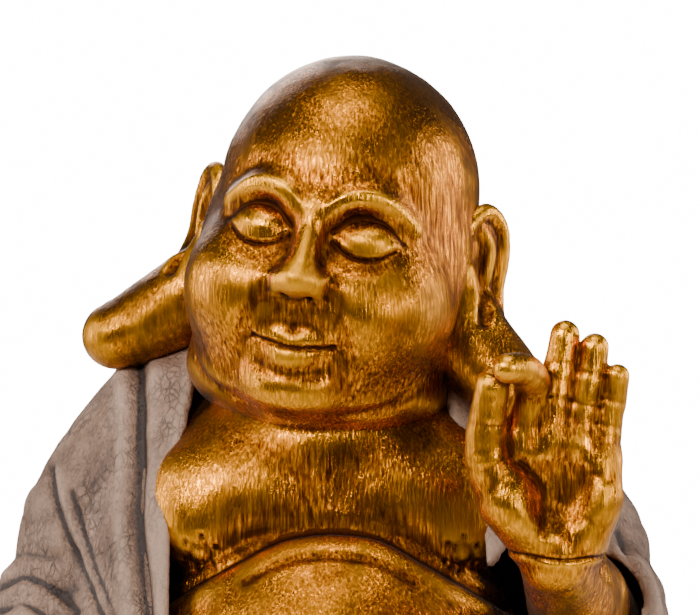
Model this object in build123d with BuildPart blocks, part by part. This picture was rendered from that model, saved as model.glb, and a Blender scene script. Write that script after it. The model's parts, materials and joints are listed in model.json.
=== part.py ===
from build123d import *

import os
from math import cos, radians, sin

# Seated laughing-monk figure: hollow gilded castings in a cast robe, on a closed base.
# Millimetres. +Z is up, the figure faces -Y, and its own left hand is on the +X side.
# The origin lies on the underside of the felt that it rests on.

# --- Base: felt, board, ballast -------------------------------------------------------
FELT_THICKNESS = 2.0
FELT_INSET = 4.0
BOARD_THICKNESS = 6.0
BOARD_CLEARANCE = 0.5
RIM_WIDTH = 10.0
LEDGE_WIDTH = 8.0
BALLAST_HEIGHT = 20.0
BALLAST_SIZE = (190.0, 120.0)
BALLAST_CHAMFER = 3.0
BOARD_SCREW_COUNT = 8
BOARD_SCREW_RADIUS = 1.6
BOARD_SCREW_HEAD_RADIUS = 3.4
BOARD_SCREW_LENGTH = 18.0

# --- Lap: the robe over the crossed legs ----------------------------------------------
LAP_BASE = (168.0, 110.0)
LAP_CENTRE_Y = -18.0
LAP_BULGE = 6.0
LAP_BULGE_HEIGHT = 40.0
LAP_SHOULDER = (140.0, 98.0, 75.0)
LAP_TOP = (100.0, 78.0, 98.0)
KNEE_SPREAD = 122.0
KNEE_CENTRE = (-62.0, 50.0)
KNEE_RADII = (62.0, 66.0, 46.0)
LAP_FLOOR = 10.0
CAVITY_SHRINK = (30.0, 22.0)

# --- Torso: belly and chest -----------------------------------------------------------
TORSO_SEAT_HEIGHT = 64.0
BELLY_CENTRE_Y = -38.0
BELLY_RISE = 76.0
BELLY_RADII = (86.0, 86.0, 86.0)
CHEST_CENTRE_Y = -8.0
CHEST_RISE = 88.0
CHEST_RADII = (74.0, 64.0, 52.0)
NECK_RISE = 38.0
CASTING_WALL = 6.0
JOINT_WALL = 12.0
SEAT_SCREW_CIRCLE = 25.0
SEAT_SCREW_COUNT = 3
SEAT_SCREW_RADIUS = 2.5
SEAT_SCREW_HEAD_RADIUS = 5.0
SEAT_SCREW_HEAD_HEIGHT = 3.0
SEAT_SCREW_BITE = 9.0
POUR_HOLE_RADIUS = 15.0

# --- Robe ------------------------------------------------------------------------------
ROBE_SECTIONS = (  # height over the lap's seat, half width, half depth, centre y
    (6.0, 124.0, 104.0, -14.0),
    (66.0, 124.0, 108.0, -20.0),
    (126.0, 114.0, 94.0, -10.0),
    (176.0, 106.0, 72.0, 2.0),
    (210.0, 88.0, 56.0, 6.0),
    (232.0, 62.0, 42.0, 8.0),
)
ROBE_WALL = 8.0
ROBE_CAVITY_HEIGHT = 146.0
ROBE_OPENING = (  # height over the lap's seat, half width
    (-10.0, 56.0),
    (40.0, 64.0),
    (120.0, 70.0),
    (176.0, 66.0),
    (204.0, 56.0),
    (250.0, 54.0),
)
ROBE_OPENING_BACK_Y = -12.0
ARMHOLE_X = 88.0
SHOULDER = (76.0, 4.0, 182.0)
SHOULDER_RADIUS = 32.0
LEFT_ELBOW = (112.0, -8.0, 112.0)
LEFT_CUFF = (105.0, -70.0, 124.0)
RIGHT_ELBOW = (-114.0, -4.0, 112.0)
RIGHT_CUFF = (-121.0, -48.0, 72.0)
ELBOW_RADIUS = 33.0
LEFT_CUFF_RADIUS = 30.0
RIGHT_CUFF_RADIUS = 27.0
CUFF_DEPTH = 26.0
CUFF_OVERHANG = 8.0
CUFF_MOUTH = 12.0
SLEEVE_WALL = 4.0
CUFF_TRIM = 14.0
SHOULDER_DOWEL_RADIUS = 4.0
SHOULDER_DOWEL_BODY = 13.0
SHOULDER_DOWEL_SLEEVE = 18.0
SHOULDER_DOWELS = ((-6.0, 4.0), (2.0, -18.0))  # y and z from the shoulder's centre

# --- Head ------------------------------------------------------------------------------
HEAD_OFFSET = (2.0, -30.0)
HEAD_RISE = 72.0
HEAD_TURN = (-3.0, 9.0, -12.0)  # nod, tilt and turn, in degrees
SKULL_CENTRE = (0.0, 9.0, 20.0)
SKULL_RADII = (53.0, 60.0, 58.0)
JAW_CENTRE = (0.0, -3.0, -22.0)
JAW_RADII = (56.0, 54.0, 50.0)
NECK_ROLL_CENTRE = (0.0, 6.0, -58.0)
NECK_ROLL_RADII = (56.0, 52.0, 26.0)
NOSE_BRIDGE = (0.0, -50.0, 8.0)
NOSE_TIP = (0.0, -60.0, -14.0)
NOSE_RADII = (5.0, 9.0)
NECK_PLUG_RADIUS = 20.0
NECK_PLUG_BITE = 20.0
PLUG_CHAMFER = 1.5

# --- Ears ------------------------------------------------------------------------------
EAR_RADII = (7.0, 9.0, 10.0, 13.0, 15.0)
EAR_PATH = (
    (55.0, 10.0, 26.0),
    (62.0, 12.0, 4.0),
    (66.0, 12.0, -22.0),
    (78.0, 10.0, -42.0),
    (96.0, 6.0, -54.0),
)
EAR_PIN_RADIUS = 2.0
EAR_PIN_LENGTH = 12.0
EAR_PINS = ((10.0, 14.0), (11.0, -8.0))  # y and z in the head's frame
EAR_PIN_START = 47.0

# --- Arms and hands --------------------------------------------------------------------
FOREARM_RADII = (22.0, 16.0)
LEFT_WRIST = (90.0, -118.0, 160.0)
LEFT_WRIST_TURN = (0.0, 3.0, 0.0)
RIGHT_WRIST = (-124.0, -72.0, 46.0)
RIGHT_WRIST_TURN = (114.0, 0.0, 6.0)
WRIST_DOWEL_RADIUS = 4.0
WRIST_DOWEL_BITE = 14.0
PALM_START = 4.0
KNUCKLE_GATHER = 0.55
THUMB_ROOT = (-8.0, -1.0, 6.0)
DIGIT_RADII = {  # at the wrist, the knuckle, the two joints and the tip
    "index": (11.0, 9.0, 7.0, 6.4, 5.6),
    "middle": (11.0, 9.0, 7.0, 6.4, 5.6),
    "ring": (11.0, 8.6, 6.6, 6.0, 5.3),
    "little": (11.0, 7.6, 5.8, 5.3, 4.7),
    "thumb": (12.0, 11.0, 8.0, 7.0, 6.2),
}
RAISED_DIGITS = {
    "index": ((-17.0, 0.0, 42.0), (-13.0, -5.0, 64.0), (-18.0, -16.0, 72.0), (-26.0, -22.0, 73.0)),
    "middle": ((-6.0, 0.0, 44.0), (-4.5, 0.0, 60.0), (-3.0, 0.0, 73.0), (-2.0, 0.0, 84.0)),
    "ring": ((5.0, 0.0, 42.0), (7.0, 0.0, 58.0), (9.0, -1.0, 70.0), (10.0, -1.0, 80.0)),
    "little": ((14.5, 0.0, 37.0), (16.5, 0.0, 50.0), (18.5, -1.0, 60.0), (19.5, -2.0, 69.0)),
    "thumb": ((-20.0, -5.0, 18.0), (-30.0, -9.0, 34.0), (-31.0, -11.0, 50.0), (-30.0, -13.0, 64.0)),
}
RESTING_DIGITS = {
    "index": ((-15.0, 0.0, 42.0), (-17.0, -3.0, 58.0), (-17.5, -9.0, 70.0), (-18.0, -17.0, 79.0)),
    "middle": ((-5.0, 0.0, 44.0), (-5.0, -3.0, 61.0), (-5.0, -9.0, 74.0), (-5.0, -17.0, 84.0)),
    "ring": ((5.0, 0.0, 42.0), (6.5, -3.0, 58.0), (7.0, -9.0, 71.0), (7.5, -17.0, 80.0)),
    "little": ((14.0, 0.0, 37.0), (17.5, -3.0, 50.0), (19.0, -8.0, 60.0), (20.0, -15.0, 68.0)),
    "thumb": ((-18.0, -4.0, 16.0), (-29.0, -7.0, 32.0), (-33.0, -9.0, 46.0), (-34.0, -12.0, 57.0)),
}

# --- Feet ------------------------------------------------------------------------------
FOOT_CENTRE = (36.0, -116.0)
FOOT_SIZE = (19.0, 32.0)
FOOT_TURN = 12.0
FOOT_HEIGHT = 24.0
FOOT_ROUNDING = 10.0
TOES = (  # centre and radius, from the big toe outwards
    (29.0, -145.0, 8.0),
    (38.5, -149.0, 6.2),
    (46.5, -147.5, 5.6),
    (53.5, -143.0, 5.2),
    (59.0, -137.0, 4.8),
)
TOE_ROUNDING = 0.9
FOOT_PIN_RADIUS = 2.5
FOOT_PIN_LENGTH = 26.0
FOOT_PIN_START = -114.0
FOOT_PIN_HEIGHT = 14.0

# --- Fits ------------------------------------------------------------------------------
GLUE_GAP = 0.3
PIN_CLEARANCE = 0.1
FAR = 600.0
SAME_SIZE = 0.01
JOINT_SWELL = 1.04

# --- Places that follow from the sizes --------------------------------------------------
BOARD_TOP = FELT_THICKNESS + BOARD_THICKNESS
SEAT = TORSO_SEAT_HEIGHT
CAVITY_ROOF = SEAT - LAP_FLOOR
BELLY_CENTRE = (0, BELLY_CENTRE_Y, SEAT + BELLY_RISE)
CHEST_CENTRE = (0, CHEST_CENTRE_Y, BELLY_CENTRE[2] + CHEST_RISE)
NECK_HEIGHT = CHEST_CENTRE[2] + NECK_RISE
HEAD_CENTRE = (HEAD_OFFSET[0], HEAD_OFFSET[1], NECK_HEIGHT + HEAD_RISE)
HEAD_PLACE = Location(HEAD_CENTRE, HEAD_TURN)


def over_seat(point):
    """A point given by its height over the lap's seat, in the figure's frame."""
    return (point[0], point[1], SEAT + point[2])


def mirrored(point, side):
    """The point on the figure's left (side 1) or right (side -1)."""
    return (side * point[0], point[1], point[2])


def ellipsoid(centre, radii, grow=0.0):
    """A ball stretched to three radii."""
    with BuildPart() as ball:
        Sphere(1)
        scale(by=tuple(r + grow for r in radii))
    return ball.part.moved(Location(centre))


def frustum(bottom, top, height):
    """A cone's trunk standing on its wider or narrower end, or a cylinder."""
    stand = (Align.CENTER, Align.CENTER, Align.MIN)
    if abs(bottom - top) < SAME_SIZE:
        return Cylinder(bottom, height, align=stand)
    return Cone(bottom, top, height, align=stand)


def limb(points, radii, grow=0.0):
    """Tapered tubes along the points, with balls at the joints that stand a little proud."""
    with BuildPart() as tube:
        for start, end, r0, r1 in zip(points, points[1:], radii, radii[1:]):
            run = Vector(*end) - Vector(*start)
            with Locations(Plane(start, z_dir=run.normalized())):
                frustum(r0 + grow, r1 + grow, run.length)
        for point, r in zip(points, radii):
            with Locations(point):
                Sphere(r * JOINT_SWELL + grow)
    return tube.part


def half_space(plane):
    """A block as large as the figure, with its lower face on the plane."""
    with BuildPart(plane) as block:
        Box(FAR, FAR, FAR, align=(Align.CENTER, Align.CENTER, Align.MIN))
    return block.part


def stacked_ellipses(sections, grow=0.0):
    """A smooth body through level ellipses: height, half width, half depth, centre y."""
    with BuildPart() as body:
        for height, half_width, half_depth, centre_y in sections:
            with BuildSketch(Plane((0, centre_y, height))):
                Ellipse(half_width + grow, half_depth + grow)
        loft()
    return body.part


def below(height):
    return half_space(Plane((0, 0, height), z_dir=(0, 0, -1)))


def above(height):
    return half_space(Plane((0, 0, height)))


def mound_form(grow=0.0):
    """The lap without its knees."""
    wide = (LAP_BASE[0] + LAP_BULGE, LAP_BASE[1] + LAP_BULGE)
    sections = (
        (FELT_THICKNESS, *LAP_BASE, LAP_CENTRE_Y),
        (LAP_BULGE_HEIGHT, *wide, LAP_CENTRE_Y),
        (LAP_SHOULDER[2], *LAP_SHOULDER[:2], LAP_CENTRE_Y),
        (LAP_TOP[2], *LAP_TOP[:2], LAP_CENTRE_Y),
    )
    return stacked_ellipses(sections, grow)


def lap_form(grow=0.0):
    """The outer shape of the lap, cut level at the felt."""
    mound = mound_form(grow)
    knees = [ellipsoid((side * KNEE_SPREAD, *KNEE_CENTRE), KNEE_RADII, grow) for side in (1, -1)]
    underneath = below(FELT_THICKNESS)
    with BuildPart() as lap:
        add(mound)
        add(knees)
        add(underneath, mode=Mode.SUBTRACT)
    return lap.part


def torso_form(grow=0.0):
    """Belly and chest, cut level at the lap's seat and at the neck."""
    belly = ellipsoid(BELLY_CENTRE, BELLY_RADII, grow)
    chest = ellipsoid(CHEST_CENTRE, CHEST_RADII, grow)
    ends = [below(SEAT), above(NECK_HEIGHT)]
    with BuildPart() as torso:
        add(belly)
        add(chest)
        add(ends, mode=Mode.SUBTRACT)
    return torso.part


def robe_form(grow=0.0):
    """The outer shape of the robe's trunk."""
    sections = [(SEAT + height, w, d, y) for height, w, d, y in ROBE_SECTIONS]
    top = sections[-1]
    sections[-1] = (top[0] + min(grow, 0.0), *top[1:])
    return stacked_ellipses(sections, grow)


def head_form(grow=0.0):
    """Skull, jaw and neck roll in the head's own tilt."""
    skull = ellipsoid(SKULL_CENTRE, SKULL_RADII, grow)
    jaw = ellipsoid(JAW_CENTRE, JAW_RADII, grow)
    roll = ellipsoid(NECK_ROLL_CENTRE, NECK_ROLL_RADII, grow)
    with BuildPart() as head:
        add(skull)
        add(jaw)
        add(roll)
    return head.part.moved(HEAD_PLACE)


def sleeve_line(side):
    """Shoulder, elbow and cuff of one arm, with their radii."""
    shoulder = over_seat(mirrored(SHOULDER, side))
    if side > 0:
        points = (shoulder, over_seat(LEFT_ELBOW), over_seat(LEFT_CUFF))
        return points, (SHOULDER_RADIUS, ELBOW_RADIUS, LEFT_CUFF_RADIUS)
    points = (shoulder, over_seat(RIGHT_ELBOW), over_seat(RIGHT_CUFF))
    return points, (SHOULDER_RADIUS, ELBOW_RADIUS, RIGHT_CUFF_RADIUS)


def dowel(start, direction, length, radius):
    """A round pin from a point, along a direction."""
    with BuildPart() as pin:
        with BuildSketch(Plane(origin=start, z_dir=direction)):
            Circle(radius)
        extrude(amount=length)
    return pin.part


def save(part, name):
    """Writes one piece under its node's name."""
    part.label = name
    export_step(part, f"parts/{name}.step")


os.makedirs("parts", exist_ok=True)

LAP_GROWN = lap_form(GLUE_GAP)
MOUND_GROWN = mound_form(GLUE_GAP)
TORSO_GROWN = torso_form(GLUE_GAP)
HEAD_GROWN = head_form(GLUE_GAP)


# --- Base ------------------------------------------------------------------------------
def board_outline(shrink):
    """Half width and half depth of the base, this much inside the lap's foot."""
    return LAP_BASE[0] - shrink, LAP_BASE[1] - shrink


def board_screw_points():
    """The screws stand over the middle of the ledge, all round."""
    across, deep = board_outline(RIM_WIDTH + LEDGE_WIDTH / 2)
    turns = [radians(360 / BOARD_SCREW_COUNT * (n + 0.5)) for n in range(BOARD_SCREW_COUNT)]
    return [(across * cos(a), LAP_CENTRE_Y + deep * sin(a)) for a in turns]


def seat_screw_points():
    """The screws from the lap's floor into the torso, on a circle under the belly."""
    turns = [radians(360 / SEAT_SCREW_COUNT * n + 90) for n in range(SEAT_SCREW_COUNT)]
    return [
        (SEAT_SCREW_CIRCLE * cos(a), BELLY_CENTRE_Y + SEAT_SCREW_CIRCLE * sin(a)) for a in turns
    ]


def turned(points, place):
    """A solid of revolution about +Z from its half outline, standing at each place."""
    with BuildPart() as one:
        with BuildSketch(Plane.XZ):
            with BuildLine():
                Polyline(*points, close=True)
            make_face()
        revolve(axis=Axis.Z)
    return [one.part.moved(Location(p)) for p in place]


with BuildPart() as base_felt:
    with BuildSketch(Plane((0, LAP_CENTRE_Y, 0))):
        Ellipse(*board_outline(FELT_INSET))
    extrude(amount=FELT_THICKNESS)
save(base_felt.part, "base_felt")

with BuildPart() as base_board:
    with BuildSketch(Plane((0, LAP_CENTRE_Y, FELT_THICKNESS))):
        Ellipse(*board_outline(RIM_WIDTH + BOARD_CLEARANCE))
    extrude(amount=BOARD_THICKNESS)
    with Locations(Location((0, 0, FELT_THICKNESS), (180, 0, 0))):
        with Locations([(x, -y) for x, y in board_screw_points()]):
            CounterSinkHole(
                BOARD_SCREW_RADIUS + PIN_CLEARANCE, BOARD_SCREW_HEAD_RADIUS + PIN_CLEARANCE
            )
save(base_board.part, "base_board")

board_screw_profile = (
    (0, 0),
    (BOARD_SCREW_HEAD_RADIUS, 0),
    (BOARD_SCREW_RADIUS, BOARD_SCREW_HEAD_RADIUS - BOARD_SCREW_RADIUS),
    (BOARD_SCREW_RADIUS, BOARD_SCREW_LENGTH - 2 * BOARD_SCREW_RADIUS),
    (0, BOARD_SCREW_LENGTH),
)
board_screws = turned(
    board_screw_profile, [(x, y, FELT_THICKNESS) for x, y in board_screw_points()]
)
with BuildPart() as base_screws:
    add(board_screws)
save(base_screws.part, "base_screws")

with BuildPart() as ballast:
    with BuildSketch(Plane((0, LAP_CENTRE_Y, BOARD_TOP))):
        Ellipse(BALLAST_SIZE[0] / 2, BALLAST_SIZE[1] / 2)
    extrude(amount=BALLAST_HEIGHT)
    chamfer(ballast.edges().group_by(Axis.Z)[-1], BALLAST_CHAMFER)
save(ballast.part, "ballast")


# --- Lap -------------------------------------------------------------------------------
def foot_pin_form(side, grow=0.0):
    """The pin from the lap's front wall into a foot."""
    start = (side * FOOT_CENTRE[0], FOOT_PIN_START + grow, FOOT_PIN_HEIGHT)
    return dowel(start, (0, -1, 0), FOOT_PIN_LENGTH + 2 * grow, FOOT_PIN_RADIUS + grow)


foot_pin_holes = [foot_pin_form(side, PIN_CLEARANCE) for side in (1, -1)]
lap_outer = lap_form()
with BuildPart() as lap_cavity:
    for height, shrink_x, shrink_y in ((FELT_THICKNESS, 0, 0), (CAVITY_ROOF, *CAVITY_SHRINK)):
        across, deep = board_outline(RIM_WIDTH + LEDGE_WIDTH)
        with BuildSketch(Plane((0, LAP_CENTRE_Y, height))):
            Ellipse(across - shrink_x, deep - shrink_y)
    loft()

with BuildPart() as robe_lap:
    add(lap_outer)
    add(lap_cavity.part, mode=Mode.SUBTRACT)
    add(TORSO_GROWN, mode=Mode.SUBTRACT)
    with BuildSketch(Plane((0, LAP_CENTRE_Y, FELT_THICKNESS))):
        Ellipse(*board_outline(RIM_WIDTH))
    extrude(amount=BOARD_THICKNESS, mode=Mode.SUBTRACT)
    with Locations([(x, y, BOARD_TOP) for x, y in board_screw_points()]):
        Cylinder(
            BOARD_SCREW_RADIUS + PIN_CLEARANCE,
            BOARD_SCREW_LENGTH,
            align=(Align.CENTER, Align.CENTER, Align.MIN),
            mode=Mode.SUBTRACT,
        )
    with Locations([(x, y, SEAT) for x, y in seat_screw_points()]):
        Hole(SEAT_SCREW_RADIUS + PIN_CLEARANCE, LAP_FLOOR)
    add(foot_pin_holes, mode=Mode.SUBTRACT)
save(robe_lap.part, "robe_lap")

seat_screw_profile = (
    (0, 0),
    (SEAT_SCREW_HEAD_RADIUS, 0),
    (SEAT_SCREW_HEAD_RADIUS, SEAT_SCREW_HEAD_HEIGHT),
    (SEAT_SCREW_RADIUS, SEAT_SCREW_HEAD_HEIGHT),
    (SEAT_SCREW_RADIUS, SEAT_SCREW_HEAD_HEIGHT + LAP_FLOOR + SEAT_SCREW_BITE),
    (0, SEAT_SCREW_HEAD_HEIGHT + LAP_FLOOR + SEAT_SCREW_BITE),
)
seat_screw_foot = CAVITY_ROOF - SEAT_SCREW_HEAD_HEIGHT
seat_screws = turned(seat_screw_profile, [(x, y, seat_screw_foot) for x, y in seat_screw_points()])
with BuildPart() as torso_screws:
    add(seat_screws)
save(torso_screws.part, "torso_screws")


# --- Torso -----------------------------------------------------------------------------
def hollow(form, floor, roof):
    """The inside of a casting, kept clear of its lower and upper joint faces."""
    ends = [below(floor), above(roof)]
    with BuildPart() as inside:
        add(form)
        add(ends, mode=Mode.SUBTRACT)
    return inside.part


torso_outer = torso_form()
torso_inside = hollow(torso_form(-CASTING_WALL), SEAT + JOINT_WALL, NECK_HEIGHT - JOINT_WALL)
neck_plug_hole = dowel(
    (HEAD_CENTRE[0], CHEST_CENTRE_Y, NECK_HEIGHT - NECK_PLUG_BITE),
    (0, 0, 1),
    2 * NECK_PLUG_BITE,
    NECK_PLUG_RADIUS + PIN_CLEARANCE,
)

with BuildPart() as torso_shell:
    add(torso_outer)
    add(torso_inside, mode=Mode.SUBTRACT)
    add(neck_plug_hole, mode=Mode.SUBTRACT)
    with Locations((0, BELLY_CENTRE_Y, SEAT)):
        Cylinder(POUR_HOLE_RADIUS, 3 * JOINT_WALL, mode=Mode.SUBTRACT)
    with Locations([(x, y, SEAT) for x, y in seat_screw_points()]):
        Cylinder(
            SEAT_SCREW_RADIUS + PIN_CLEARANCE,
            SEAT_SCREW_BITE + PIN_CLEARANCE,
            align=(Align.CENTER, Align.CENTER, Align.MIN),
            mode=Mode.SUBTRACT,
        )
save(torso_shell.part, "torso_shell")

neck_plug_start = (HEAD_CENTRE[0], CHEST_CENTRE_Y, NECK_HEIGHT - NECK_PLUG_BITE + PIN_CLEARANCE)
with BuildPart() as neck_plug:
    with BuildSketch(Plane(neck_plug_start)):
        Circle(NECK_PLUG_RADIUS)
    extrude(amount=2 * (NECK_PLUG_BITE - PIN_CLEARANCE))
    chamfer(neck_plug.edges(), PLUG_CHAMFER)
save(neck_plug.part, "neck_plug")


# --- Head and ears ---------------------------------------------------------------------
def nose_form():
    """The nose, in the head's tilt."""
    return limb((NOSE_BRIDGE, NOSE_TIP), NOSE_RADII).moved(HEAD_PLACE)


def ear_pin(side, pin, grow):
    """One pin from the head's wall into an ear, in the head's tilt."""
    start = (side * (EAR_PIN_START - grow), pin[0], pin[1])
    return dowel(start, (side, 0, 0), EAR_PIN_LENGTH + 2 * grow, EAR_PIN_RADIUS + grow).moved(
        HEAD_PLACE
    )


head_outer = head_form()
head_inside = hollow(head_form(-CASTING_WALL), NECK_HEIGHT + JOINT_WALL, FAR)
nose = nose_form()
ear_pin_holes = [ear_pin(side, pin, PIN_CLEARANCE) for side in (1, -1) for pin in EAR_PINS]

with BuildPart() as head_shell:
    add(head_outer)
    add(nose)
    add(TORSO_GROWN, mode=Mode.SUBTRACT)
    add(head_inside, mode=Mode.SUBTRACT)
    add(neck_plug_hole, mode=Mode.SUBTRACT)
    add(ear_pin_holes, mode=Mode.SUBTRACT)
save(head_shell.part, "head_shell")

ear_pin_bodies = [ear_pin(side, pin, 0) for side in (1, -1) for pin in EAR_PINS]
with BuildPart() as ear_pins:
    add(ear_pin_bodies)
save(ear_pins.part, "ear_pins")

for side, name in ((1, "ear_left"), (-1, "ear_right")):
    lobe = limb([mirrored(p, side) for p in EAR_PATH], EAR_RADII).moved(HEAD_PLACE)
    with BuildPart() as ear:
        add(lobe)
        add(HEAD_GROWN, mode=Mode.SUBTRACT)
        add(ear_pin_holes, mode=Mode.SUBTRACT)
    save(ear.part, name)


# --- Robe ------------------------------------------------------------------------------
def opening_form():
    """The open front of the robe: an outline cut from far in front to behind the lapels."""
    edge = [(half_width, SEAT + height) for height, half_width in ROBE_OPENING]
    with BuildPart() as front:
        with BuildSketch(Plane.XZ.offset(-ROBE_OPENING_BACK_Y)):
            with BuildLine():
                right = Spline(edge)
                left = Spline([(-x, z) for x, z in edge])
                Line(right @ 0, left @ 0)
                Line(right @ 1, left @ 1)
            make_face()
        extrude(amount=FAR)
    return front.part


def shoulder_dowels_form(side, grow):
    """The dowels across one armhole's parting plane."""
    x, y, z = over_seat(mirrored(SHOULDER, side))
    start_x = side * (ARMHOLE_X - SHOULDER_DOWEL_BODY - grow)
    length = SHOULDER_DOWEL_BODY + SHOULDER_DOWEL_SLEEVE + 2 * grow
    radius = SHOULDER_DOWEL_RADIUS + grow
    return [
        dowel((start_x, y + dy, z + dz), (side, 0, 0), length, radius) for dy, dz in SHOULDER_DOWELS
    ]


robe_outer = robe_form()
robe_inside = hollow(robe_form(-ROBE_WALL), 0, SEAT + ROBE_CAVITY_HEIGHT)
robe_opening = opening_form()
armhole_right = half_space(Plane((ARMHOLE_X, 0, SEAT), z_dir=(1, 0, 0)))
armhole_left = half_space(Plane((-ARMHOLE_X, 0, SEAT), z_dir=(-1, 0, 0)))
shoulder_dowel_holes = [d for side in (1, -1) for d in shoulder_dowels_form(side, PIN_CLEARANCE)]

with BuildPart() as robe_body:
    add(robe_outer)
    add(robe_inside, mode=Mode.SUBTRACT)
    add([armhole_right, armhole_left], mode=Mode.SUBTRACT)
    add(TORSO_GROWN, mode=Mode.SUBTRACT)
    add(robe_opening, mode=Mode.SUBTRACT)
    add(HEAD_GROWN, mode=Mode.SUBTRACT)
    add(LAP_GROWN, mode=Mode.SUBTRACT)
    add(shoulder_dowel_holes, mode=Mode.SUBTRACT)
save(robe_body.part, "robe_body")

shoulder_dowel_bodies = [d for side in (1, -1) for d in shoulder_dowels_form(side, 0)]
with BuildPart() as shoulder_dowels:
    add(shoulder_dowel_bodies)
save(shoulder_dowels.part, "shoulder_dowels")


# --- Arms ------------------------------------------------------------------------------
def arm_frame(side):
    """Cuff, wrist and forearm direction of one arm."""
    cuff = Vector(*sleeve_line(side)[0][2])
    wrist = Vector(*over_seat(LEFT_WRIST if side > 0 else RIGHT_WRIST))
    return cuff, wrist, (wrist - cuff).normalized()


def hand_place(side):
    """Where a hand's own frame stands: at the wrist, turned."""
    turn = LEFT_WRIST_TURN if side > 0 else RIGHT_WRIST_TURN
    return Location(tuple(arm_frame(side)[1]), turn)


def wrist_plane(side):
    """The parting plane of a wrist, midway between forearm and hand, facing the hand."""
    wrist, along = arm_frame(side)[1:]
    hand_direction = Plane(hand_place(side)).z_dir
    return Plane(origin=wrist, z_dir=(along + hand_direction).normalized())


def forearm_form(side, grow=0.0):
    """The forearm from inside the sleeve to the wrist."""
    cuff, wrist, along = arm_frame(side)
    start = cuff - along * CUFF_DEPTH
    return limb((tuple(start), tuple(wrist)), FOREARM_RADII, grow)


def cuff_mouth(side):
    """What is taken off the sleeve's end: all beyond the cuff, and the space in its mouth."""
    cuff, _, along = arm_frame(side)
    rim = Plane(origin=cuff + along * CUFF_OVERHANG, z_dir=along)
    radius = sleeve_line(side)[1][2]
    with BuildPart() as beyond:
        with BuildSketch(rim):
            Circle(radius + CUFF_TRIM)
        extrude(amount=3 * radius)
    with BuildPart() as mouth:
        with BuildSketch(rim):
            Circle(radius - SLEEVE_WALL)
        extrude(amount=-CUFF_MOUTH)
    return [beyond.part, mouth.part]


def wrist_dowel_form(side, grow=0.0):
    """The dowel across one wrist."""
    plane = wrist_plane(side)
    start = plane.origin - plane.z_dir * (WRIST_DOWEL_BITE + grow)
    return dowel(start, plane.z_dir, 2 * (WRIST_DOWEL_BITE + grow), WRIST_DOWEL_RADIUS + grow)


with BuildPart() as trunk_core:
    add(robe_form(GLUE_GAP))
    add([armhole_right, armhole_left], mode=Mode.SUBTRACT)

for side, name in ((1, "sleeve_left"), (-1, "sleeve_right")):
    arm = limb(*sleeve_line(side))
    other_side = half_space(Plane((0, 0, SEAT), z_dir=(-side, 0, 0)))
    forearm_hole = forearm_form(side, GLUE_GAP)
    mouth = cuff_mouth(side)
    with BuildPart() as sleeve:
        add(arm)
        add(robe_outer)
        add(robe_inside, mode=Mode.SUBTRACT)
        add(trunk_core.part, mode=Mode.SUBTRACT)
        add(other_side, mode=Mode.SUBTRACT)
        add([TORSO_GROWN, LAP_GROWN], mode=Mode.SUBTRACT)
        add(mouth, mode=Mode.SUBTRACT)
        add(forearm_hole, mode=Mode.SUBTRACT)
        add(shoulder_dowel_holes, mode=Mode.SUBTRACT)
    save(sleeve.part, name)

for side, name in ((1, "forearm_left"), (-1, "forearm_right")):
    form = forearm_form(side)
    hand_side = half_space(wrist_plane(side))
    wrist_hole = wrist_dowel_form(side, PIN_CLEARANCE)
    with BuildPart() as forearm:
        add(form)
        add([hand_side, wrist_hole, LAP_GROWN, TORSO_GROWN, trunk_core.part], mode=Mode.SUBTRACT)
    save(forearm.part, name)

wrist_dowel_bodies = [wrist_dowel_form(side) for side in (1, -1)]
with BuildPart() as wrist_dowels:
    add(wrist_dowel_bodies)
save(wrist_dowels.part, "wrist_dowels")


# --- Hands -----------------------------------------------------------------------------
def hand_form(digit_paths, side):
    """Five jointed digits that spread from the wrist, palm to -Y and fingers up."""
    digits = []
    for name, joints in digit_paths.items():
        root = THUMB_ROOT if name == "thumb" else (joints[0][0] * KNUCKLE_GATHER, 0, PALM_START)
        path = [mirrored(point, side) for point in (root, *joints)]
        digits.append(limb(path, DIGIT_RADII[name]))
    with BuildPart() as hand:
        for digit in digits:
            add(digit)
    return hand.part


for side, digit_paths, name in (
    (1, RAISED_DIGITS, "hand_left"),
    (-1, RESTING_DIGITS, "hand_right"),
):
    form = hand_form(digit_paths, side).moved(hand_place(side))
    beyond_wrist = half_space(wrist_plane(side))
    wrist_hole = wrist_dowel_form(side, PIN_CLEARANCE)
    with BuildPart() as hand:
        add(form)
        add(beyond_wrist, mode=Mode.INTERSECT)
        add([wrist_hole, LAP_GROWN, trunk_core.part], mode=Mode.SUBTRACT)
    save(hand.part, name)


# --- Feet ------------------------------------------------------------------------------
def toe_form(radius):
    """One toe: an upright peg with a domed top."""
    with BuildPart() as toe:
        Cylinder(radius, 2 * radius, align=(Align.CENTER, Align.CENTER, Align.MIN))
        fillet(toe.edges().group_by(Axis.Z)[-1], TOE_ROUNDING * radius)
    return toe.part


for side, name in ((1, "foot_left"), (-1, "foot_right")):
    toes = [toe_form(r).moved(Location((side * x, y, FELT_THICKNESS))) for x, y, r in TOES]
    with BuildPart() as foot:
        with BuildSketch(Plane((side * FOOT_CENTRE[0], FOOT_CENTRE[1], FELT_THICKNESS))):
            Ellipse(*FOOT_SIZE, rotation=side * FOOT_TURN)
        extrude(amount=FOOT_HEIGHT)
        fillet(foot.edges().group_by(Axis.Z)[-1], FOOT_ROUNDING)
        for toe in toes:
            add(toe)
        add(MOUND_GROWN, mode=Mode.SUBTRACT)
        add(foot_pin_holes, mode=Mode.SUBTRACT)
    save(foot.part, name)

foot_pin_bodies = [foot_pin_form(side) for side in (1, -1)]
with BuildPart() as foot_pins:
    add(foot_pin_bodies)
save(foot_pins.part, "foot_pins")
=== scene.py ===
import json
import math

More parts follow.
